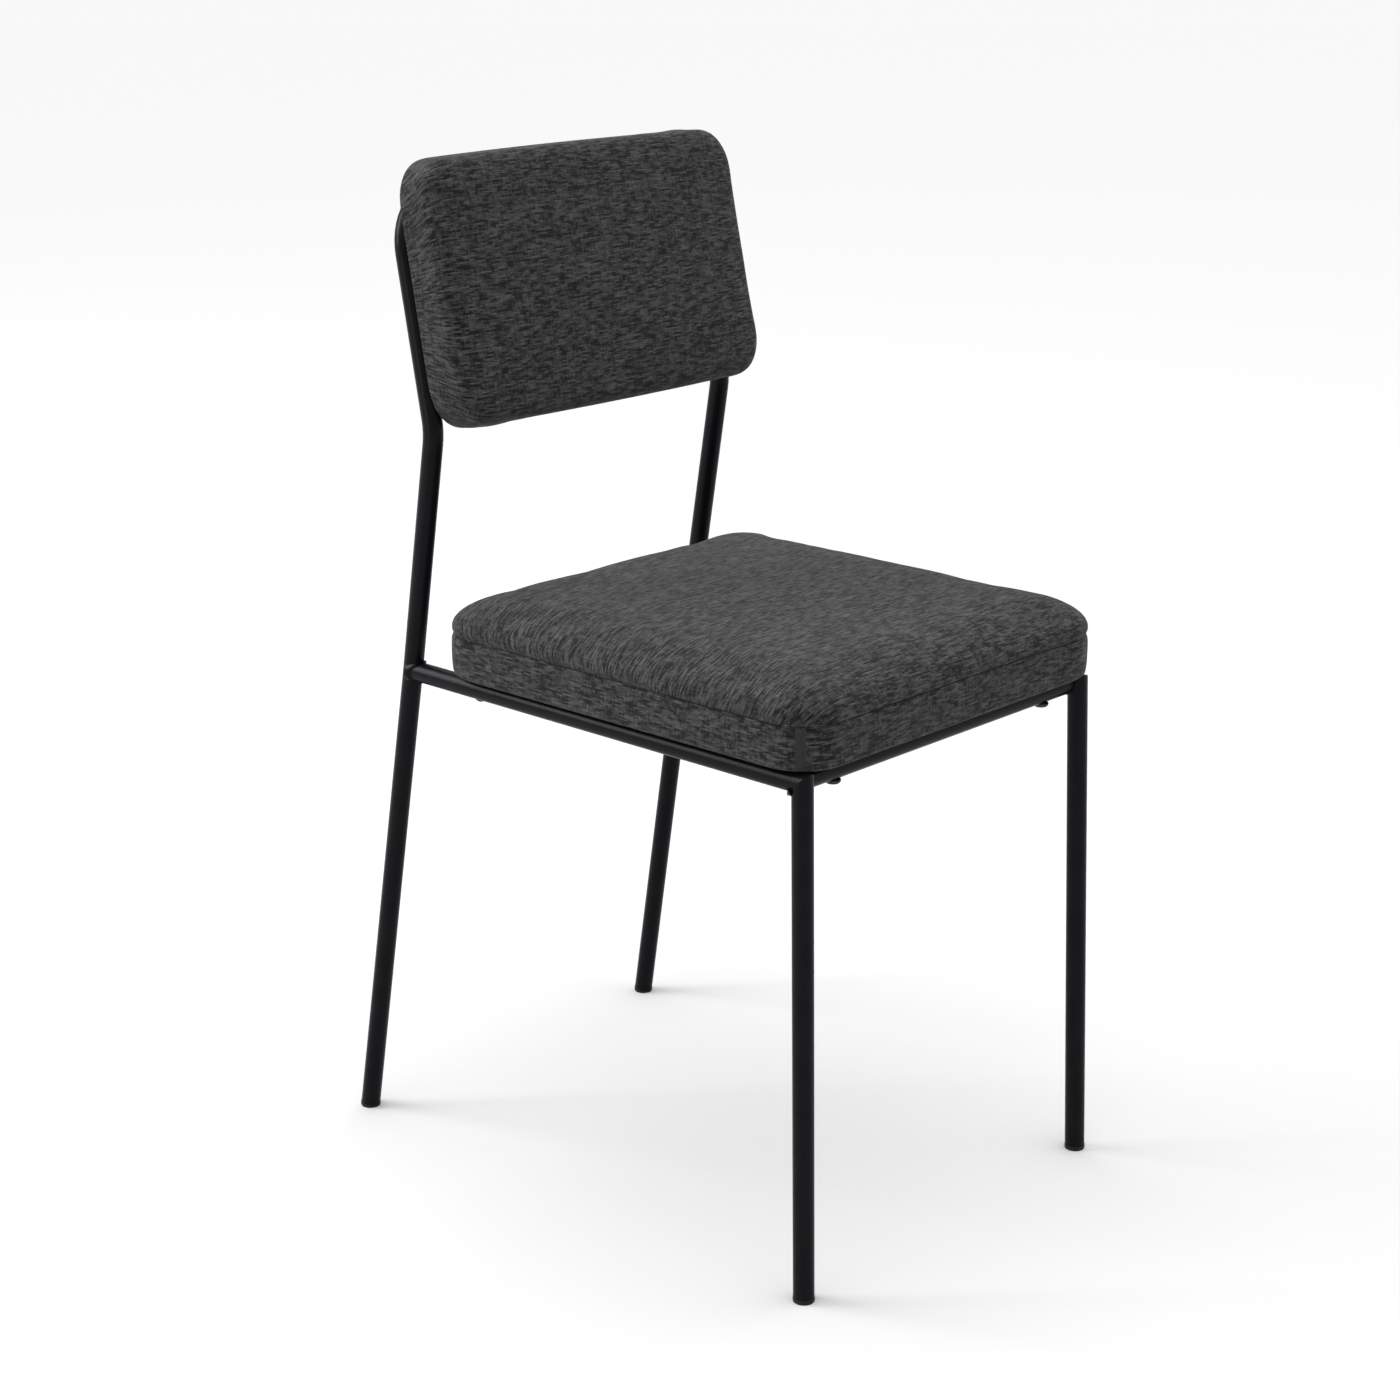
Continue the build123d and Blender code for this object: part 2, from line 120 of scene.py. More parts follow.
# ---- outlines ------------------------------------------------------------------------------
def outline(half_w, half_h, r, columns, rows):
    """Points round a rounded rectangle, evenly spaced between the middles of its corners."""
    r = max(r, 1e-6)
    points = []
    for turn in range(4):
        w, h, count = ((half_w, half_h, columns), (half_h, half_w, rows))[turn % 2]
        arc = pi * r / 4
        total = 2 * arc + 2 * (w - r)
        for k in range(count):
            s = k * total / count
            if s < arc:
                angle = -0.75 * pi + s / r
                x, y = -w + r + r * cos(angle), -h + r + r * sin(angle)
            elif s < total - arc:
                x, y = -w + r + s - arc, -h
            else:
                angle = -0.5 * pi + (s - total + arc) / r
                x, y = w - r + r * cos(angle), -h + r + r * sin(angle)
            for _ in range(turn):
                x, y = -y, x
            points.append((x, y))
    return np.array(points)


def grid_edge(columns, rows):
    """The numbers of a grid's outer points, in the order of an outline."""
    def at(i, j):
        return i * (rows + 1) + j
    return ([at(i, 0) for i in range(columns)] + [at(columns, j) for j in range(rows)]
            + [at(columns - i, rows) for i in range(columns)]
            + [at(0, rows - j) for j in range(rows)])


def grid_faces(columns, rows):
    across = rows + 1
    return [(i * across + j, (i + 1) * across + j, (i + 1) * across + j + 1, i * across + j + 1)
            for i in range(columns) for j in range(rows)]


def ring_faces(first, second):
    """Quads between two rings of point numbers, the second outside the first."""
    count = len(first)
    return [(first[k], second[k], second[(k + 1) % count], first[(k + 1) % count])
            for k in range(count)]


# ---- the shape of a cushion's skin ---------------------------------------------------------
class Skin:
    """A cushion's cover: a grid in the middle, and rings round it that run over the edge.

    path is the section from the inner grid outwards: rows of inset from the outline seen from
    above, height, and share of the crown. A ring is named by its distance along that section.
    seam is the distance of a sewn seam, or None.
    """

    def __init__(self, half_w, half_h, corner, path, crown, bow=0.0, seam=None):
        self.half_w, self.half_h, self.corner = half_w, half_h, corner
        self.crown, self.bow = crown, bow
        self.path = np.array(path, float)
        steps = np.hypot(*np.diff(self.path[:, :2], axis=0).T)
        self.along = np.concatenate([[0], np.cumsum(steps)])
        self.seam = None if seam is None else self.along[seam]
        self.columns = round(2 * (half_w - INNER_INSET) / CELL)
        self.rows = round(2 * (half_h - INNER_INSET) / CELL)
        self.length = 4 * (half_w + half_h) - (8 - 2 * pi) * corner

    def dome(self, xy):
        u = np.clip(1 - (xy[:, 0] / self.half_w) ** 2, 0, 1)
        v = np.clip(1 - (xy[:, 1] / self.half_h) ** 2, 0, 1)
        return self.crown * (u * v) ** 0.7

    def place(self, xy, z, share):
        """Points of the skin, with the crown added and the long edges bowed."""
        grown = 1 + self.bow / self.half_h * (1 - (xy[:, 0] / self.half_w) ** 2)
        return np.column_stack([xy[:, 0], xy[:, 1] * grown, z + share * self.dome(xy)])

    def middle(self):
        """The grid's points, and where each lies on the flat cloth."""
        xs = np.linspace(-1, 1, self.columns + 1) * (self.half_w - INNER_INSET)
        ys = np.linspace(-1, 1, self.rows + 1) * (self.half_h - INNER_INSET)
        xy = np.array([(x, y) for x in xs for y in ys])
        return self.place(xy, self.path[0, 1], 1.0), xy

    def pull(self, along):
        """How far the seam's thread draws each point of a ring inwards."""
        count = 2 * (self.columns + self.rows)
        if self.seam is None:
            return np.zeros(count)
        away = abs(along - self.seam)
        valley = SEAM_DEPTH * np.exp(-(away / SEAM_WIDTH) ** 2)
        turns = np.arange(count) / count * 2 * pi
        reach = self.length / (2 * pi * PUCKER_PITCH)
        side = 5.0 if along > self.seam else 0.0
        puckers = np.array([noise.noise(Vector((reach * cos(t), reach * sin(t), side + away / 30)))
                            for t in turns])
        return valley * (1 + 0.5 * puckers) + PUCKER * puckers * np.exp(-away / PUCKER_REACH)

    def ring(self, along):
        """One ring's points, and where each lies on the flat cloth."""
        inset, z, share = [np.interp(along, self.along, self.path[:, k]) for k in range(3)]
        r = self.corner * max(0.0, 1 - max(inset, 0.0) / INNER_INSET)
        size = (self.columns, self.rows)
        xy = outline(self.half_w - inset, self.half_h - inset, r, *size)
        run = np.roll(xy, -1, axis=0) - np.roll(xy, 1, axis=0)
        outwards = np.column_stack([run[:, 1], -run[:, 0]])
        outwards /= np.linalg.norm(outwards, axis=1, keepdims=True)
        spare = along + inset - INNER_INSET
        flat = outline(self.half_w - inset + spare, self.half_h - inset + spare, r + spare, *size)
        points = self.place(xy, z, share)
        points[:, :2] -= outwards * self.pull(along)[:, None]
        return points, flat

    def rings(self, stops):
        """The grid and the rings at these distances: their points, and their flat places."""
        made = [self.middle()] + [self.ring(s) for s in stops]
        return [m[0] for m in made], [m[1] for m in made]

    def faces(self, count, start=0):
        """Faces of the grid and this many rings, or of rings alone where start is 1 or more."""
        made = [] if start else grid_faces(self.columns, self.rows)
        before = grid_edge(self.columns, self.rows)
        first = (self.columns + 1) * (self.rows + 1)
        size = len(before)
        for k in range(count):
            after = list(range(first, first + size))
            if k >= start:
                made += ring_faces(before, after)
            before, first = after, first + size
        return made


def quarter(centre, radii, start, end, count=9):
    """Points (inset, height) on an ellipse's arc between two angles in degrees."""
    angles = np.radians(np.linspace(start, end, count))
    return [(centre[0] - radii[0] * cos(a), centre[1] + radii[1] * sin(a)) for a in angles]


def spaced(start, end, step):
    """Distances after start, up to end, about this step apart."""
    return list(np.linspace(start, end, max(1, round(abs(end - start) / step)) + 1))[1:]


# ---- cloth simulation ----------------------------------------------------------------------
def inflated(points, faces, pinned, cap):
    """How far the points move when the skin is cloth under pressure, never more than cap."""
    mesh = bpy.data.meshes.new("inflating")
    mesh.from_pydata((points * MM).tolist(), [], faces)
    thing = bpy.data.objects.new("inflating", mesh)
    bpy.context.scene.collection.objects.link(thing)
    pins = thing.vertex_groups.new(name="pins")
    pins.add([int(k) for k in pinned], 1.0, "REPLACE")
    cloth = thing.modifiers.new("cloth", "CLOTH")
    settings = cloth.settings
    settings.vertex_group_mass = "pins"
    settings.quality = 6
    settings.mass = 0.3
    settings.tension_stiffness = settings.compression_stiffness = 12
    settings.shear_stiffness = 4
    settings.bending_stiffness = 0.4
    settings.shrink_min = -CLOTH_SPARE
    settings.use_pressure = True
    settings.uniform_pressure_force = SIM_PRESSURE
    settings.effector_weights.gravity = 0
    cloth.collision_settings.use_collision = False
    scene = bpy.context.scene
    for number in range(1, SIM_FRAMES + 1):
        scene.frame_set(number)
    shown = thing.evaluated_get(bpy.context.evaluated_depsgraph_get())
    moved = np.zeros(len(points) * 3, np.float32)
    shown.data.vertices.foreach_get("co", moved)
    moved = moved.reshape(-1, 3) / MM - points
    bpy.data.objects.remove(thing)
    bpy.data.meshes.remove(mesh)
    scene.frame_set(1)
    far = np.linalg.norm(moved, axis=1, keepdims=True)
    return moved * cap / (cap + far)


def swell(skin, coarse, held, cap):
    """The simulated move of the grid's and rings' points; the skin is fixed from held on."""
    parts, _ = skin.rings(coarse)
    points = np.vstack(parts)
    size = len(parts[-1])
    start = len(parts[0])
    free = sum(stop < held for stop in coarse)
    pinned = range(start + free * size, len(points))
    moved = inflated(points, skin.faces(len(coarse)), pinned, cap)
    edge = moved[grid_edge(skin.columns, skin.rows)]
    rims = [edge] + [moved[start + k * size:start + (k + 1) * size] for k in range(len(coarse))]
    return moved[:start], np.array([0.0, *coarse]), np.array(rims)


def swollen(parts, stops, moves):
    """The grid's and rings' points after the simulated move."""
    grid, at, rims = moves
    made = [parts[0] + grid]
    for points, stop in zip(parts[1:], stops):
        k = min(int(np.searchsorted(at, stop, side="right")) - 1, len(at) - 2)
        share = (stop - at[k]) / (at[k + 1] - at[k])
        made.append(points + rims[k] * (1 - share) + rims[k + 1] * share)
    return made


# ---- making pieces -------------------------------------------------------------------------
def piece(name, points, faces, material, flat=None, subdivide=0, shell=0.0):
    """A mesh piece, its points in millimetres, riding on the chair's one body."""
    mesh = bpy.data.meshes.new(name)
    mesh.from_pydata((np.asarray(points) * MM).tolist(), [], faces)
    mesh.materials.append(material)
    mesh.polygons.foreach_set("use_smooth", [True] * len(mesh.polygons))
    if flat is not None:
        cloth = mesh.attributes.new("cloth", "FLOAT_VECTOR", "POINT")
        flat = np.column_stack([flat, np.zeros(len(flat))])
        cloth.data.foreach_set("vector", flat.astype(np.float32).ravel())
    thing = bpy.data.objects.new(name, mesh)
    bpy.context.scene.collection.objects.link(thing)
    if subdivide:
        smooth = thing.modifiers.new("subdivision", "SUBSURF")
        smooth.levels = smooth.render_levels = subdivide
    if shell:
        solid = thing.modifiers.new("thickness", "SOLIDIFY")
        solid.thickness = shell * MM
        solid.offset = -1.0
    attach(thing, "root")
    return thing


# ---- materials -----------------------------------------------------------------------------
class Shader:
    """A material's node tree, with one short method for each kind of node used here."""

    def __init__(self, name):
        self.material = bpy.data.materials.new(name)
        self.material.use_nodes = True
        self.tree = self.material.node_tree
        self.surface = self.tree.nodes["Principled BSDF"]

    def join(self, value, socket):
        if isinstance(value, bpy.types.NodeSocket):
            self.tree.links.new(value, socket)
        elif isinstance(value, tuple) and len(value) == 3 and socket.type == "RGBA":
            socket.default_value = (*value, 1.0)
        else:
            socket.default_value = value

    def node(self, kind, inputs=(), **settings):
        made = self.tree.nodes.new(kind)
        for key, value in settings.items():
            setattr(made, key, value)
        for value, socket in zip(inputs, made.inputs):
            self.join(value, socket)
        return made

    def math(self, operation, *values):
        return self.node("ShaderNodeMath", values, operation=operation).outputs[0]

    def vector(self, x, y, z=0.0):
        return self.node("ShaderNodeCombineXYZ", (x, y, z)).outputs[0]

    def spread(self, value, low, high, low_out, high_out):
        return self.node("ShaderNodeMapRange", (value, low, high, low_out, high_out)).outputs[0]

    def place(self):
        """Where a point is on the chair, in metres."""
        return self.node("ShaderNodeTexCoord").outputs["Object"]

    def noise(self, vector, scale, detail=2.0, roughness=0.5):
        made = self.node("ShaderNodeTexNoise")
        self.join(vector, made.inputs["Vector"])
        made.inputs["Scale"].default_value = scale
        made.inputs["Detail"].default_value = detail
        made.inputs["Roughness"].default_value = roughness
        return made.outputs[0]

    def mix(self, share, first, second, blend="MIX"):
        made = self.node("ShaderNodeMix", data_type="RGBA", blend_type=blend)
        self.join(share, made.inputs[0])
        colours = [s for s in made.inputs if s.type == "RGBA"]
        self.join(first, colours[0])
        self.join(second, colours[1])
        return next(s for s in made.outputs if s.type == "RGBA")

    def bump(self, height, strength, distance):
        made = self.node("ShaderNodeBump")
        made.inputs["Strength"].default_value = strength
        made.inputs["Distance"].default_value = distance
        self.join(height, made.inputs["Height"])
        self.join(made.outputs["Normal"], self.surface.inputs["Normal"])

    def set(self, **values):
        for key, value in values.items():
            self.join(value, self.surface.inputs[key.replace("_", " ")])
        return self.material


def woven(name, dark, light, relief=0.5):
    """Plain weave of slubbed threads with painted shade in the gaps between them, from each point's
    place on the flat cloth in mm.
    """
    s = Shader(name)
    flat = s.node("ShaderNodeAttribute", attribute_name="cloth").outputs["Vector"]
    u, v, _ = s.node("ShaderNodeSeparateXYZ", (flat,)).outputs

    def threads(across, along, pitch, seed):
        """The tone of the thread at a point, and its round back; threads run along."""
        drift = s.noise(s.vector(s.math("DIVIDE", along, 30.0), s.math("DIVIDE", across, 9.0),
                                 seed), 1.0, 1.0)
        place = s.math("ADD", s.math("DIVIDE", across, pitch), drift)
        number = s.math("MULTIPLY", s.math("FLOOR", place), 7.31)
        tone = s.noise(s.vector(s.math("DIVIDE", along, 12.0), number, seed + 3.0), 1.0, 3.0, 0.6)
        back = s.math("SINE", s.math("MULTIPLY", s.math("FRACT", place), pi))
        return tone, back

    weft, weft_back = threads(v, u, WEFT_PITCH, 0.0)
    warp, warp_back = threads(u, v, WARP_PITCH, 40.0)
    tone = s.math("ADD", s.math("MULTIPLY", weft, 0.75), s.math("MULTIPLY", warp, 0.25))
    colour = s.mix(s.spread(tone, 0.42, 0.60, 0.0, 1.0), dark, light)
    # Painted shade between the threads: the colour darkens where each weft thread's round back
    # falls away into the gap, deeper in some gaps than in others.
    weft_gap_shade_noise = s.noise(s.vector(s.math("DIVIDE", u, 10.0), s.math("DIVIDE", v, 1.1), 9.0), 1.0, 1.0)
    painted_gap_shade = s.spread(weft_gap_shade_noise, 0.38, 0.6, 0.0, 1.0)
    colour = s.mix(1.0, colour, s.spread(weft_back, 0.0, 0.8, painted_gap_shade, 1.0), "MULTIPLY")
    # The same painted shade between the warp threads, weaker.
    warp_gap_shade_noise = s.noise(s.vector(s.math("DIVIDE", u, 1.3), s.math("DIVIDE", v, 5.0), 19.0), 1.0, 1.0)
    painted_gap_shade = s.spread(warp_gap_shade_noise, 0.38, 0.58, 0.4, 1.0)
    colour = s.mix(1.0, colour, s.spread(warp_back, 0.0, 0.7, painted_gap_shade, 1.0), "MULTIPLY")
    cloudy = s.noise(s.vector(s.math("DIVIDE", u, 26.0), s.math("DIVIDE", v, 14.0)), 1.0, 3.0)
    colour = s.mix(1.0, colour, s.spread(cloudy, 0.3, 0.7, 0.84, 1.16), "MULTIPLY")
    fuzz = s.noise(flat, 3.0, 2.0)
    backs = s.math("ADD", weft_back, s.math("MULTIPLY", warp_back, 0.6))
    s.bump(s.math("ADD", backs, s.math("MULTIPLY", fuzz, 0.5)), relief, 0.0005)
    return s.set(Base_Color=colour, Roughness=s.spread(tone, 0.3, 0.7, 0.95, 0.85),
                 Sheen_Weight=0.06, Sheen_Roughness=0.5, Specular_IOR_Level=0.2)


def powder_coat():
    """Satin black paint with a fine orange peel and a trace of dust."""
    s = Shader("frame_powder_coat")
    peel = s.noise(s.place(), 900.0, 2.0, 0.55)
    broad = s.noise(s.place(), 60.0, 3.0)
    s.bump(peel, 0.12, 0.0003)
    colour = s.mix(s.spread(broad, 0.35, 0.75, 0.0, 1.0), (0.0024, 0.0026, 0.0038),
                   (0.0040, 0.0042, 0.0058))
    return s.set(Base_Color=colour, Roughness=s.spread(peel, 0.3, 0.7, 0.27, 0.36),
                 Specular_IOR_Level=0.08)


def moulded_plastic():
    s = Shader("cap_black_plastic")
    grain = s.noise(s.place(), 1400.0, 2.0)
    s.bump(grain, 0.2, 0.0002)
    colour = s.mix(s.noise(s.place(), 120.0), (0.004, 0.004, 0.0045), (0.007, 0.007, 0.0075))
    return s.set(Base_Color=colour, Roughness=s.spread(grain, 0.3, 0.7, 0.45, 0.6),
                 Specular_IOR_Level=0.2)


def plated_steel(name, colour, rough):
    s = Shader(name)
    grain = s.noise(s.place(), 700.0, 3.0)
    shade = s.mix(grain, tuple(0.75 * c for c in colour), colour)
    s.bump(grain, 0.08, 0.0002)
    return s.set(Base_Color=shade, Metallic=1.0, Roughness=s.spread(grain, 0.3, 0.7, rough,
                                                                  rough + 0.15))


def plywood(plies):
    """Veneers of turned grain in layers of this thickness in metres, pale wood."""
    s = Shader("plywood")
    x, y, z = s.node("ShaderNodeSeparateXYZ", (s.place(),)).outputs
    layer = s.math("FRACT", s.math("DIVIDE", z, 2 * plies))
    turned = s.math("GREATER_THAN", layer, 0.5)
    grain = s.noise(s.vector(s.math("MULTIPLY", x, 60.0), s.math("MULTIPLY", y, 900.0),
                             s.math("MULTIPLY", z, 900.0)), 1.0, 3.0, 0.6)
    light = s.mix(grain, (0.47, 0.33, 0.19), (0.68, 0.52, 0.34))
    colour = s.mix(s.math("MULTIPLY", turned, 0.35), light, (0.36, 0.23, 0.12))
    s.bump(grain, 0.15, 0.0004)
    return s.set(Base_Color=colour, Roughness=s.spread(grain, 0.3, 0.7, 0.55, 0.75))


def foam_rubber():
    s = Shader("foam")
    cells = s.node("ShaderNodeTexVoronoi")
    s.join(s.place(), cells.inputs["Vector"])
    cells.inputs["Scale"].default_value = 650.0
    # The colour darkens towards each cell's middle, where the bump sinks into a pore: painted shade
    # in the pores.
    colour = s.mix(cells.outputs["Distance"], (0.52, 0.47, 0.33), (0.80, 0.74, 0.55))
    s.bump(cells.outputs["Distance"], 0.5, 0.0006)
    return s.set(Base_Color=colour, Roughness=0.95, Specular_IOR_Level=0.15)


def spunbond():
    """Thin black non-woven cloth: pressed fibres with a grid of small bond points."""
    s = Shader("dust_cloth")
    fibres = s.noise(s.place(), 2200.0, 3.0, 0.7)
    dots = s.node("ShaderNodeTexVoronoi")
    s.join(s.place(), dots.inputs["Vector"])
    dots.inputs["Scale"].default_value = 520.0
    dots.inputs["Randomness"].default_value = 0.15
    bond = s.spread(dots.outputs["Distance"], 0.15, 0.3, 0.0, 1.0)
    colour = s.mix(fibres, (0.008, 0.008, 0.009), (0.026, 0.026, 0.028))
    s.bump(s.math("ADD", bond, fibres), 0.35, 0.0003)
    return s.set(Base_Color=colour, Roughness=s.spread(bond, 0.0, 1.0, 0.55, 0.85),
                 Specular_IOR_Level=0.3)


FABRIC = woven("charcoal_slub_weave", (0.0014, 0.0014, 0.0016), (0.052, 0.0524, 0.0545))
PAINT = powder_coat()
CAP = moulded_plastic()
STEEL = plated_steel("zinc_plated_steel", (0.62, 0.62, 0.60), 0.3)
BLACK_STEEL = plated_steel("black_zinc_steel", (0.05, 0.05, 0.055), 0.35)
WOOD = plywood(0.0015)
FOAM = foam_rubber()
DUST = spunbond()

CAD_LOOKS = {
    PAINT: ["rear_hoop_tube", "left_side_rail", "right_side_rail", "left_front_leg",
            "right_front_leg", "front_cross_rail", "rear_cross_rail", "frame_weld_beads",
            "backrest_mounting_tabs"],
    CAP: ["front_left_foot_cap", "front_right_foot_cap", "rear_left_foot_cap",
          "rear_right_foot_cap"],
    STEEL: ["seat_staples", "seat_tee_nuts", "backrest_staples", "backrest_tee_nuts"],
    BLACK_STEEL: ["seat_fixing_screws", "backrest_fixing_screws"],
    WOOD: ["seat_board", "backrest_board"],
}
for look, names in CAD_LOOKS.items():
    for name in names:
        node = NODES[name]
        for holder in node.material_slots:
            holder.material = look
        if not node.material_slots:
            node.data.materials.append(look)


# ---- cushions and cloths -------------------------------------------------------------------
def box_mm(*names):
    """Lowest and highest corner of these CAD nodes together, in millimetres."""
    corners = [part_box(name) for name in names]
    low = np.min([np.array(c[0]) for c in corners], axis=0)
    high = np.max([np.array(c[1]) for c in corners], axis=0)
    return low / MM, high / MM


def beside(edge, far, direction):
    """Distances from an edge or seam outwards to far, close together first."""
    steps = (0.0, 0.7, 1.5, 2.4, 3.5, 5.0, 7.0, 9.5, 12.5, 16.0)
    near = [edge + direction * s for s in steps if s < abs(far - edge) - 2]
    return near + spaced(near[-1], far, CELL * 0.8)


def solids(name):
    """Where the middles of a CAD node's separate solids are, in mm."""
    points = np.array([v.co for v in NODES[name].data.vertices]) / MM
    left = list(range(len(points)))
    found = []
    while left:
        near = [k for k in left if np.linalg.norm(points[k] - points[left[0]]) < 3 * NUT_DENT_R]
        box = points[near]
        found.append((box.min(axis=0) + box.max(axis=0)) / 2)
        left = [k for k in left if k not in set(near)]
    return np.array(found)


def foam_block(name, cad_node, skin, parts, base, nuts, to_chair):
    """The foam inside a cover: the cover's skin moved inwards, closed flat on its board.

    It is dented over the nuts. to_chair turns the cushion's own points into the chair's.
    """
    bottom = base + FOAM_LIFT
    keep = 1 + sum(points[:, 2].mean() > bottom + 2.0 for points in parts[1:])
    points = np.vstack(parts[:keep])
    faces = skin.faces(keep - 1)
    mesh = bpy.data.meshes.new(name + "_skin")
    mesh.from_pydata(points.tolist(), [], faces)
    normals = np.array([v.vector for v in mesh.vertex_normals])
    bpy.data.meshes.remove(mesh)
    points = points - normals * (CLOTH + FOAM_GAP)
    size = len(parts[-1])
    rim = points[-size:].copy()
    layers = [points]
    for share in FOAM_SHRINKS:
        layers.append(rim * np.array([1 - share, 1 - share, 0.0]))
    layers.append(np.zeros((1, 3)))
    flat_start = len(points)
    points = np.vstack(layers)
    under = points[flat_start:]
    far = np.min([np.hypot(*(under[:, :2] - nut[:2]).T) for nut in nuts], axis=0)
    under[:, 2] = bottom + NUT_DENT * np.clip((NUT_DENT_R + NUT_DENT_FADE - far)
                                              / NUT_DENT_FADE, 0, 1)
    for k in range(len(FOAM_SHRINKS)):
        before = list(range(flat_start + (k - 1) * size, flat_start + k * size))
        faces += ring_faces(before, [i + size for i in before])
    last = list(range(len(points) - 1 - size, len(points) - 1))
    faces += [(last[k], len(points) - 1, last[(k + 1) % size]) for k in range(size)]
    foam = piece(name, to_chair(points), faces, FOAM)
    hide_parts(cad_node)


def seat_path(seam_z, low_z):
    """The seat skin's section from the inner grid over the edge to the hem's end."""
    round_z = seam_z + SEAM_RISE
    path = [(INNER_INSET, round_z + SEAT_ROUND_DOWN, 1.0)]
    for inset, z in quarter((SEAT_ROUND_IN, round_z), (SEAT_ROUND_IN, SEAT_ROUND_DOWN), 90, 0, 25):
        path.append((inset, z, min(1.0, inset / SEAT_ROUND_IN)))
    path.append((0.0, seam_z, 0.0))
    seam = len(path) - 1
    curl_z = low_z + SEAT_HEM_R
    for t in np.linspace(0.1, 1, 10):
        path.append((BAND_DRAW * t ** 2.5, seam_z + (curl_z - seam_z) * t, 0.0))
    curl = (BAND_DRAW + SEAT_HEM_R, curl_z)
    for inset, z in quarter(curl, (SEAT_HEM_R, SEAT_HEM_R), 0, -90, 7)[1:]:
        path.append((inset, z, 0.0))
    path.append((HEM_WIDTH, low_z, 0.0))
    return path, seam


def seat_top_panel(points, flat, faces):
    top = piece("seat_top_panel", points, faces, FABRIC, flat, 1, CLOTH)
    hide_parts("seat_cover_top_panel")


def seat_side_band(parts, centre, stops, length):
    """The band from these rings; stops are their distances, for its flat strip of cloth."""
    count = len(parts[0])
    faces = []
    for k in range(len(parts) - 1):
        before = list(range(k * count, (k + 1) * count))
        faces += ring_faces(before, [i + count for i in before])
    along_band = np.linspace(0, length, count, endpoint=False)
    strip = np.vstack([np.column_stack([along_band, np.full(count, -s)]) for s in stops])
    band = piece("seat_side_band", np.vstack(parts) + centre, faces, FABRIC,
                 strip, 1, CLOTH)
    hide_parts("seat_cover_side_band")


def seat_cushion():
    """The seat's two panels, sewn along one seam, and the foam inside them."""
    low, high = box_mm("seat_cover_side_band")
    centre = np.array([*(low + high)[:2] / 2, 0.0])
    half = (high - low) / 2
    path, seam_row = seat_path(high[2], low[2])
    skin = Skin(half[0], half[1], SEAT_CORNER_R, path, SEAT_CROWN, seam=seam_row)
    end, seam = skin.along[-1], skin.seam
    curl = seam + high[2] - low[2] - SEAT_HEM_R
    top_stops = sorted(beside(seam - SEAM_GAP, CELL * 0.8, -1))
    band_stops = beside(seam + SEAM_GAP, curl, 1)
    band_stops += spaced(curl, curl + SEAT_HEM_R * pi / 2, 1.3)
    band_stops += spaced(band_stops[-1], end, CELL)
    moves = swell(skin, spaced(0, end, CELL), curl - CELL, SEAT_SWELL)
    stops = top_stops + band_stops
    parts, flats = skin.rings(stops)
    parts = swollen(parts, stops, moves)

    rim = len(top_stops)
    tuck = np.array([1 - SEAM_ALLOWANCE / half[0], 1 - SEAM_ALLOWANCE / half[1], 1.0])
    panel = np.vstack(parts[:rim + 1] + [parts[rim] * tuck]) + centre
    flat = np.vstack(flats[:rim + 1] + [flats[rim] / tuck[:2]])
    seat_top_panel(panel, flat, skin.faces(rim + 1))
    seat_side_band([parts[rim + 1] * tuck] + parts[rim + 1:], centre,
                   [seam - SEAM_ALLOWANCE] + band_stops, skin.length)
    foam_block("seat_foam_block", "seat_foam", skin, parts, box_mm("seat_board")[1][2],
               solids("seat_tee_nuts") - centre, lambda points: points + centre)


def dust_cloth():
    """The black cloth under the seat, stapled round its edge and sagging between the rails."""
    low, high = box_mm("seat_dust_cover")
    middle, half = (low + high) / 2, (high - low) / 2
    skin = Skin(half[0], half[1], DUST_CORNER_R, [(INNER_INSET, 0, 0), (0, 0, 0)], 0.0)
    parts, flats = skin.rings(spaced(0, skin.along[-1], CELL))
    points = np.vstack(parts) + middle
    left, right = box_mm("left_side_rail"), box_mm("right_side_rail")
    front, rear = box_mm("front_cross_rail"), box_mm("rear_cross_rail")
    x, y = points[:, 0], points[:, 1]
    tube = front[1][1] - front[0][1]
    room = np.min([x - left[0][0] - 1.4 * tube, right[1][0] - 1.4 * tube - x,
                   y - front[1][1] - 0.4 * tube, rear[0][1] - 0.4 * tube - y], axis=0)
    room = np.clip(room, 0, None)
    ripples = np.array([noise.noise(Vector((a, b, 0.0)) / DUST_RIPPLE_PITCH + Vector((0, 0, 2)))
                        for a, b in zip(x, y)])
    sag = DUST_SAG * (1 - np.exp(-room / DUST_SAG_REACH))
    sag += DUST_RIPPLE * ripples * (1 - np.exp(-room / DUST_RIPPLE_REACH))
    points[:, 2] = high[2] - 0.05 - np.where(room > 0, sag, 0.0)
    cloth = piece("seat_dust_cloth", points, skin.faces(len(parts) - 1), DUST,
                  np.vstack(flats), 0, DUST_CLOTH)
    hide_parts("seat_dust_cover")


def leaning_axes():
    """The backrest's way up and its way forwards, from its rear cloth's largest flat face."""
    areas = {}
    for face in NODES["backrest_rear_cloth"].data.polygons:
        key = tuple(round(c, 4) for c in face.normal)
        areas[key] = areas.get(key, 0.0) + face.area
    forwards = np.array(max(areas, key=areas.get))
    forwards = forwards / np.linalg.norm(forwards) * (-1 if forwards[1] > 0 else 1)
    return np.cross(forwards, (1.0, 0.0, 0.0)), forwards


LEANING = np.array([(1.0, 0.0, 0.0), *leaning_axes()])


def leaning_box(name):
    """A CAD node's lowest and highest place across, up the lean and forwards, in mm."""
    points = np.array([v.co for v in NODES[name].data.vertices]) / MM @ LEANING.T
    return points.min(axis=0), points.max(axis=0)


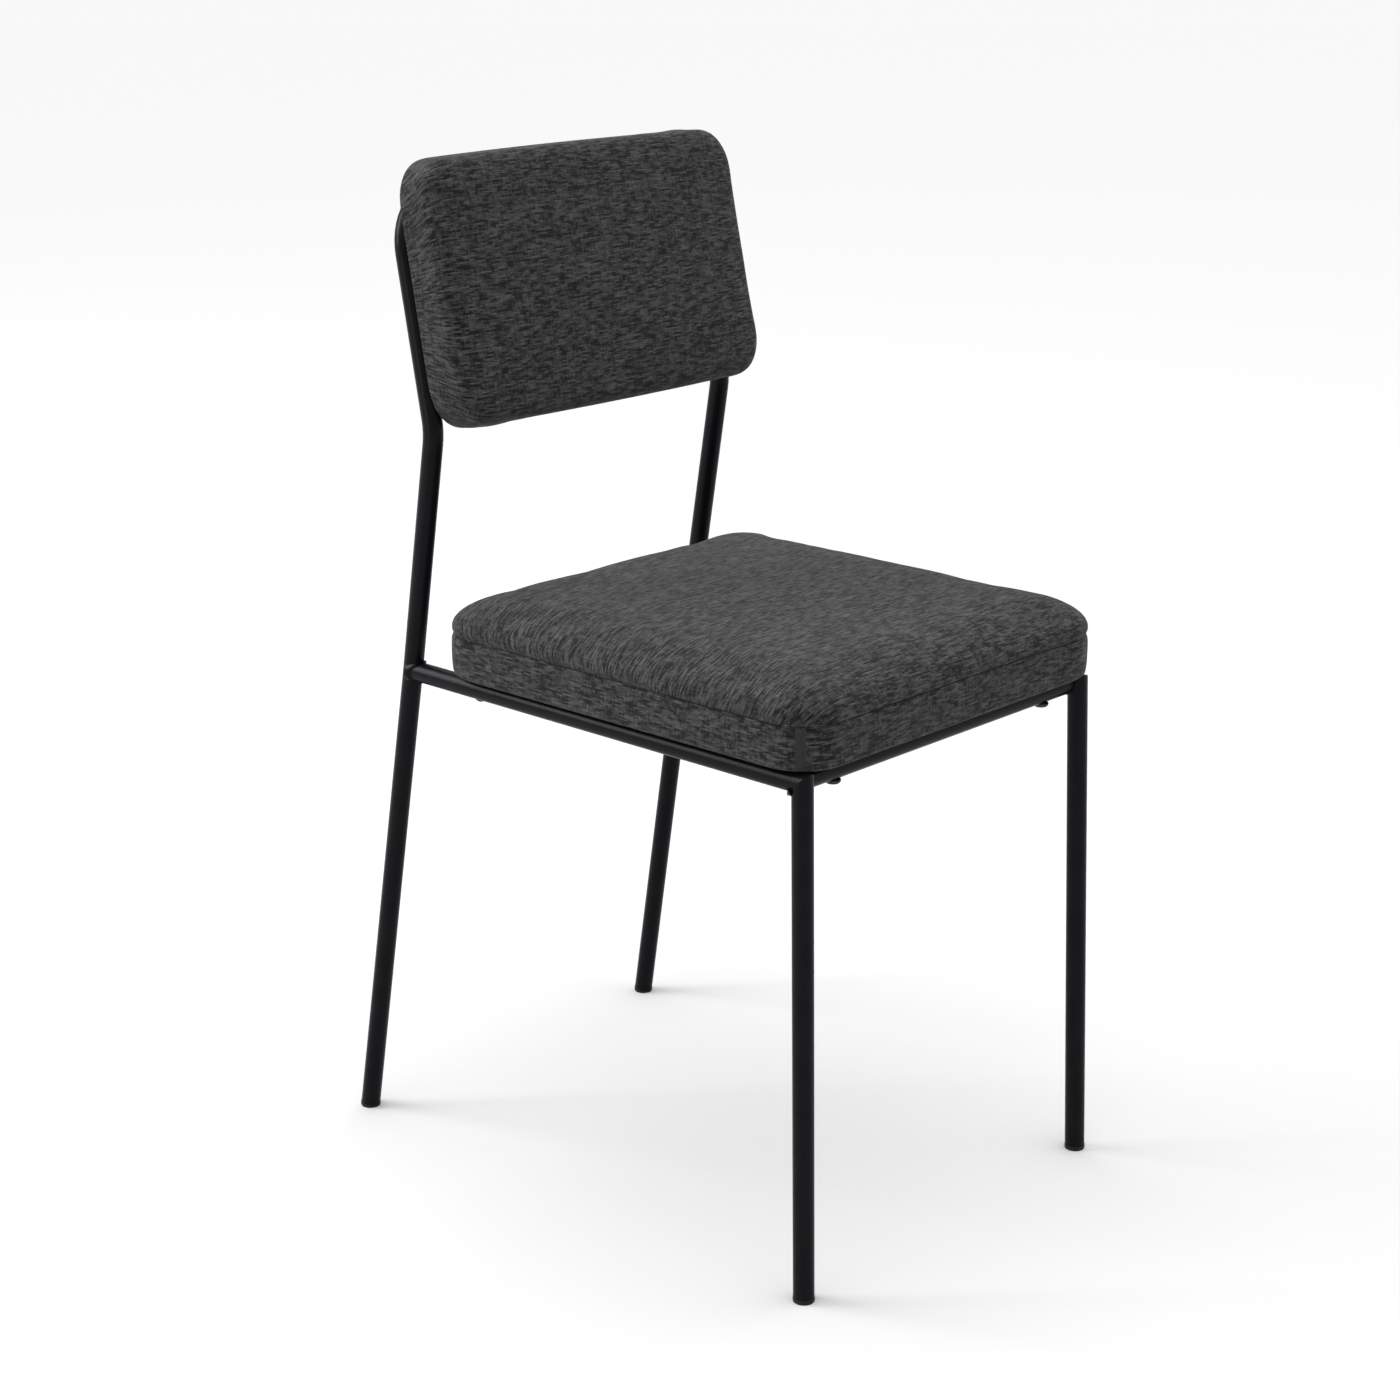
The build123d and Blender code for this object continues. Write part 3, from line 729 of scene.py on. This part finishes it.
def back_path(thick):
    """The backrest skin's section from the inner grid over the front edge to the hem's end."""
    side_z = thick - BACK_ROUND
    path = [(INNER_INSET, thick, 1.0)]
    for inset, z in quarter((BACK_ROUND, side_z), (BACK_ROUND, BACK_ROUND), 90, 0, 13):
        path.append((inset, z, inset / INNER_INSET))
    for inset, z in quarter((BACK_HEM_R, BACK_HEM_R), (BACK_HEM_R, BACK_HEM_R), 0, -90, 7):
        path.append((inset, z, 0.0))
    path.append((HEM_WIDTH, 0.0, 0.0))
    return path


def back_cushion():
    low, high = leaning_box("backrest_cover")
    thick = high[2] - low[2]
    half = (high - low) / 2
    centre = np.array([*(low + high)[:2] / 2, low[2]])
    skin = Skin(half[0], half[1] + BACK_PROUD - BACK_BOW, BACK_CORNER_R, back_path(thick),
                BACK_CROWN, BACK_BOW)
    end = skin.along[-1]
    curl = end - (HEM_WIDTH - BACK_HEM_R) - BACK_HEM_R * pi / 2
    stops = spaced(0, curl, CELL * 0.6) + spaced(curl, curl + BACK_HEM_R * pi / 2, 1.0)
    stops += spaced(stops[-1], end, CELL)
    moves = swell(skin, spaced(0, end, CELL), curl - CELL, BACK_SWELL)
    parts, flats = skin.rings(stops)
    parts = swollen(parts, stops, moves)
    for points in parts:
        points[:, 2] *= 1 - BACK_TAPER * points[:, 1] / half[1]
    cover = piece("backrest_padded_cover", (np.vstack(parts) + centre) @ LEANING,
                  skin.faces(len(stops)), FABRIC, np.vstack(flats), 1, CLOTH)
    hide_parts("backrest_cover")
    board_top = leaning_box("backrest_board")[1][2] - low[2]
    foam_block("backrest_foam_block", "backrest_foam", skin, parts, board_top,
               solids("backrest_tee_nuts") @ LEANING.T - centre,
               lambda points: (points + centre) @ LEANING)


def rear_cloth():
    """The cloth that closes the backrest behind, its edge turned under."""
    low, high = leaning_box("backrest_rear_cloth")
    half = (high - low) / 2
    centre = np.array([*(low + high)[:2] / 2, low[2]])
    step = REAR_CLOTH + 0.04
    path = [(INNER_INSET, 0.4, 0), (REAR_TURNING + 3, 0.4, 0), (REAR_TURNING + 1, 0.1, 0),
            (0.4, 0.05, 0), (0.0, 0.05 + step / 2, 0), (0.4, 0.05 + step, 0),
            (REAR_TURNING, 0.1 + step, 0)]
    skin = Skin(half[0], half[1], REAR_CORNER_R, path, 0.0)
    fold = skin.along[3]
    stops = spaced(0, skin.along[1], CELL) + [skin.along[2]] + spaced(skin.along[2], fold, 2.5)
    stops += list(skin.along[4:6]) + spaced(skin.along[5], skin.along[6], 2.5)
    parts, flats = skin.rings(stops)
    faces = [face[::-1] for face in skin.faces(len(stops))]
    cloth = piece("backrest_rear_panel", (np.vstack(parts) + centre) @ LEANING, faces, FABRIC,
                  np.vstack(flats), 0, REAR_CLOTH)
    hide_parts("backrest_rear_cloth")


seat_cushion()
dust_cloth()
back_cushion()
rear_cloth()


# ---- studio --------------------------------------------------------------------------------
def studio():
    scene = bpy.context.scene
    lens = bpy.data.cameras.new("camera")
    lens.sensor_width = SENSOR
    lens.lens = LENS
    lens.clip_end = 4 * FLOOR_REACH
    camera = bpy.data.objects.new("camera", lens)
    camera.location = CAMERA_PLACE
    camera.rotation_euler = (radians(90 - CAMERA_PITCH), 0.0, -radians(CAMERA_YAW))
    scene.collection.objects.link(camera)
    scene.camera = camera

    floor_mesh = bpy.data.meshes.new("floor")
    r = FLOOR_REACH
    floor_mesh.from_pydata([(-r, -r, 0), (r, -r, 0), (r, r, 0), (-r, r, 0)], [], [(0, 1, 2, 3)])
    floor = bpy.data.objects.new("floor", floor_mesh)
    paint = Shader("floor_paint")
    floor_mesh.materials.append(paint.set(Base_Color=FLOOR_TONE, Roughness=0.9,
                                          Specular_IOR_Level=0.1))
    scene.collection.objects.link(floor)

    world = bpy.data.worlds.new("studio")
    scene.world = world
    world.use_nodes = True
    tree = world.node_tree
    way = tree.nodes.new("ShaderNodeTexCoord").outputs["Generated"]
    split = tree.nodes.new("ShaderNodeSeparateXYZ")
    tree.links.new(way, split.inputs[0])
    glow = tree.nodes.new("ShaderNodeMapRange")
    glow.interpolation_type = "SMOOTHSTEP"
    tree.links.new(split.outputs["Z"], glow.inputs["Value"])
    for socket, value in zip(("From Min", "From Max", "To Min", "To Max"), SKY):
        glow.inputs[socket].default_value = value
    tree.nodes["Background"].inputs["Color"].default_value = (1.0, 1.0, 1.0, 1.0)
    tree.links.new(glow.outputs["Result"], tree.nodes["Background"].inputs["Strength"])

    for name, place, size, power in SOFTBOXES:
        light = bpy.data.lights.new(name, "AREA")
        light.shape = "RECTANGLE"
        light.size, light.size_y = size
        light.energy = power
        lamp = bpy.data.objects.new(name, light)
        lamp.location = place
        facing = Vector(LIT_POINT) - Vector(place)
        lamp.rotation_euler = facing.to_track_quat("-Z", "Y").to_euler()
        scene.collection.objects.link(lamp)
    scene.view_settings.view_transform = "Standard"


studio()
